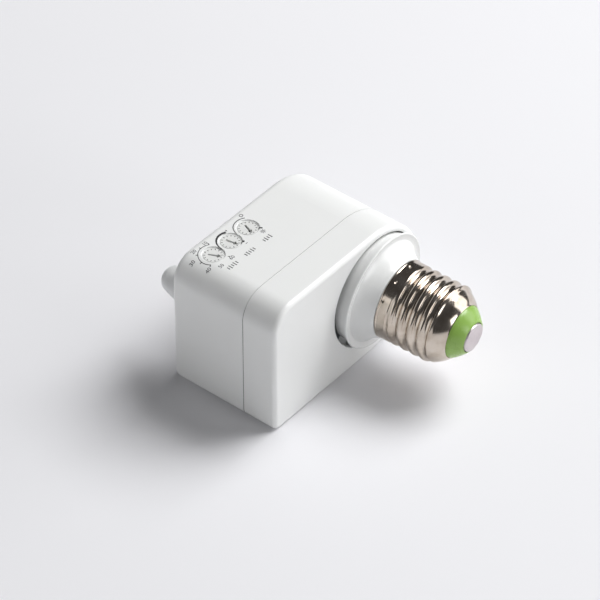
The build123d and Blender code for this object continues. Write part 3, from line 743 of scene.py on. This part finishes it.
def print_scales(settings, film):
    """A plain arc for light, a narrowing one for sensitivity and an arc with strokes for time."""
    radius, line = settings.scale_radius, settings.line
    time, sense, light = DIAL_PLACES.values()
    arcs = bmesh.new()
    flat_ring(arcs, light, radius - 0.1, line, *LIGHT_ARC, *film)
    flat_bar(arcs, about(light, radius - 0.55, END_MARK), (1.0, 0.55), END_MARK, *film)
    for i in range(WEDGE_STEPS):
        start = WEDGE_START + i * WEDGE_STEP
        width = 0.8 - 0.07 * i
        flat_ring(arcs, sense, radius - width / 2 + 0.05, width, start, start + WEDGE_STEP, *film)
    flat_bar(arcs, about(sense, radius - 0.7, END_MARK), (0.8, 0.8), END_MARK, *film)
    flat_ring(arcs, time, radius + 0.1, line * 0.8, *TIME_ARC, *film)
    for angle in TIME_STROKES:
        flat_bar(arcs, about(time, radius + 0.35, angle), (0.8, line), angle, *film)
    drape(arcs)
    finish_piece(arcs, "dial_scale_arcs", "ink", "housing")


def print_marks(film):
    """Numbers for time, a ring and a sun for light, a minus and a plus, and rows of bars."""
    sense, light = DIAL_PLACES["sensitivity_dial"], DIAL_PLACES["light_dial"]
    marks = bmesh.new()
    for text, centre in TIME_NUMBERS:
        plain_number(marks, text, centre, *film)
    sun = about(light, 5.0, 18)
    flat_ring(marks, about(light, 5.9, 150), 0.55, 0.22, 0, 360, *film)
    flat_ring(marks, sun, 0.4, 0.22, 0, 360, *film)
    for angle in range(0, 360, 45):
        flat_bar(marks, about(sun, 0.8, angle), (0.3, 0.16), angle, *film)
    minus, plus = about(sense, 5.0, 27), about(sense, 4.9, 146)
    for centre, size in ((minus, (0.16, 0.8)), (plus, (0.16, 0.8)), (plus, (0.8, 0.16))):
        flat_bar(marks, centre, size, 0, *film)
    for name, count in BAR_COUNTS.items():
        x, y = DIAL_PLACES[name]
        for i in range(count):
            spot = (x + BAR_DISTANCE, y - 0.1 + (i - (count - 1) / 2) * BAR_SPACING)
            flat_bar(marks, spot, (BAR_LENGTHS[i % 2], BAR_WIDTH), 0, *film)
    drape(marks)
    finish_piece(marks, "dial_scale_marks", "grey_ink_and_slot_shade", "housing")


def print_dial(name, settings):
    """Ticks round a dial's sunk face, and a grey strip of painted shade on the floor of its slot.
    """
    place, turn = DIAL_PLACES[name], DIAL_TURNS[name]
    ticks_and_slot_shade = bmesh.new()
    for i in range(DIAL_TICKS):
        angle = turn + (i + 0.5) * 360 / DIAL_TICKS
        spot = about(place, 2.68, angle)
        flat_bar(ticks_and_slot_shade, spot, (0.5, 0.22), angle, DIAL_FACE - 0.005, DIAL_FACE + settings.film)
    # Painted shade: a grey strip on the slot's floor, standing in for the shade inside the slot
    slot_floor = (DIAL_FACE - 0.605, DIAL_FACE - 0.57)
    flat_bar(ticks_and_slot_shade, about(place, 0.05, turn), (3.3, 0.5), turn, *slot_floor)
    finish_piece(ticks_and_slot_shade, name + "_ticks", "grey_ink_and_slot_shade", name)


class LAMPHOLDER_OT_dial_scales(bpy.types.Operator):
    """Prints the dials and the scales round them, paints shade into the dial slots, and makes the
    lips of their holes
    """

    bl_idname = "lampholder.dial_scales"
    bl_label = "Dial scales"

    def execute(self, context):
        """Print on the box, the lip in each dial hole, and print and painted slot shade on the
        dials.
        """
        settings = context.scene.lampholder_box
        film = (TOP - 0.03, TOP + settings.film)
        print_scales(settings, film)
        print_marks(film)
        lips = bmesh.new()
        for place in DIAL_PLACES.values():
            flat_ring(lips, place, LIP_RADIUS, LIP_WIDTH, 0, 360, TOP - 0.62, TOP - 0.42)
        finish_piece(lips, "dial_hole_lips", "housing_abs", "housing")
        for name in DIAL_PLACES:
            print_dial(name, settings)
        return {"FINISHED"}


class LAMPHOLDER_OT_stage(bpy.types.Operator):
    """Builds the floor, the light and the camera"""

    bl_idname = "lampholder.stage"
    bl_label = "Stage"

    def execute(self, context):
        """Paper floor, a high key, a low softbox, two weak panels and the camera."""
        settings = context.scene.lampholder_stage
        scene = context.scene
        paper, tree, shader, where = new_finish("paper_sweep", Roughness=0.9)
        base = (*settings.floor_colour, 1.0)
        shade = (*(c * 0.99 for c in settings.floor_colour), 1.0)
        tone = ramp(tree, noise(tree, where, 0.4, 2.0), (0.2, shade), (0.8, base))
        tree.links.new(tone, shader.inputs["Base Color"])
        builder = bmesh.new()
        level = Matrix.Translation((0, 0, FLOOR * MM))
        bmesh.ops.create_grid(builder, x_segments=4, y_segments=4, size=2.0, matrix=level)
        mesh = bpy.data.meshes.new("floor")
        builder.to_mesh(mesh)
        builder.free()
        mesh.materials.append(paper)
        floor = bpy.data.objects.new("floor", mesh)
        scene.collection.objects.link(floor)

        world = bpy.data.worlds.new("room")
        world.use_nodes = True
        background = world.node_tree.nodes["Background"]
        background.inputs["Color"].default_value = linear("#F4F4F6")
        background.inputs["Strength"].default_value = settings.fill
        scene.world = world

        for name, place, size, power in (
            ("key", Vector((0.38, 1.08, 1.52)), 1.1, settings.key),
            ("softbox", Vector((1.0, 1.26, 0.7)), 1.1, settings.softbox),
            ("front_panel", Vector((1.3, 0.14, 0.3)), 0.5, settings.front_panel),
            ("side_panel", Vector((-0.2, -1.25, 0.37)), 1.0, settings.side_panel),
        ):
            lamp = bpy.data.lights.new(name, "AREA")
            lamp.shape = "SQUARE"
            lamp.size = size
            lamp.energy = power
            source = bpy.data.objects.new(name, lamp)
            source.location = place
            source.rotation_euler = (-place).to_track_quat("-Z", "Y").to_euler()
            scene.collection.objects.link(source)

        lens = bpy.data.cameras.new("camera")
        lens.sensor_width = SENSOR_WIDTH
        lens.lens = FOCAL_PIXELS / PICTURE_PIXELS * SENSOR_WIDTH
        lens.clip_start = 0.05
        lens.clip_end = 20.0
        camera = bpy.data.objects.new("camera", lens)
        above = CAMERA_BACK.cross(CAMERA_RIGHT)
        turn = Matrix((CAMERA_RIGHT, above, CAMERA_BACK)).transposed().to_4x4()
        camera.matrix_world = Matrix.Translation(CAMERA_PLACE) @ turn
        scene.collection.objects.link(camera)
        scene.camera = camera
        scene.view_settings.view_transform = "Standard"
        return {"FINISHED"}


class LAMPHOLDER_PT_panel(bpy.types.Panel):
    """Lists the lamp holder's operators"""

    bl_label = "Lamp holder"
    bl_idname = "LAMPHOLDER_PT_panel"
    bl_space_type = "VIEW_3D"
    bl_region_type = "UI"
    bl_category = "Lamp holder"

    def draw(self, context):
        """One button for each operator, then the settings."""
        scene = context.scene
        for operator in OPERATORS:
            self.layout.operator(operator.bl_idname)
        for settings in (scene.lampholder_cap, scene.lampholder_box, scene.lampholder_stage):
            for key in settings.__annotations__:
                self.layout.prop(settings, key)


OPERATORS = (
    LAMPHOLDER_OT_finishes,
    LAMPHOLDER_OT_screw_cap,
    LAMPHOLDER_OT_dial_scales,
    LAMPHOLDER_OT_stage,
)
CLASSES = (ScrewCapSettings, BoxSettings, StageSettings, *OPERATORS, LAMPHOLDER_PT_panel)


def register():
    """Registers the classes and their settings."""
    for item in CLASSES:
        bpy.utils.register_class(item)
    bpy.types.Scene.lampholder_cap = bpy.props.PointerProperty(type=ScrewCapSettings)
    bpy.types.Scene.lampholder_box = bpy.props.PointerProperty(type=BoxSettings)
    bpy.types.Scene.lampholder_stage = bpy.props.PointerProperty(type=StageSettings)


def unregister():
    """Takes the classes and their settings away."""
    del bpy.types.Scene.lampholder_cap
    del bpy.types.Scene.lampholder_box
    del bpy.types.Scene.lampholder_stage
    for item in reversed(CLASSES):
        bpy.utils.unregister_class(item)


def main():
    """Builds everything."""
    register()
    bpy.ops.lampholder.finishes()
    bpy.ops.lampholder.screw_cap()
    bpy.ops.lampholder.dial_scales()
    bpy.ops.lampholder.stage()


if __name__ == "__main__":
    main()
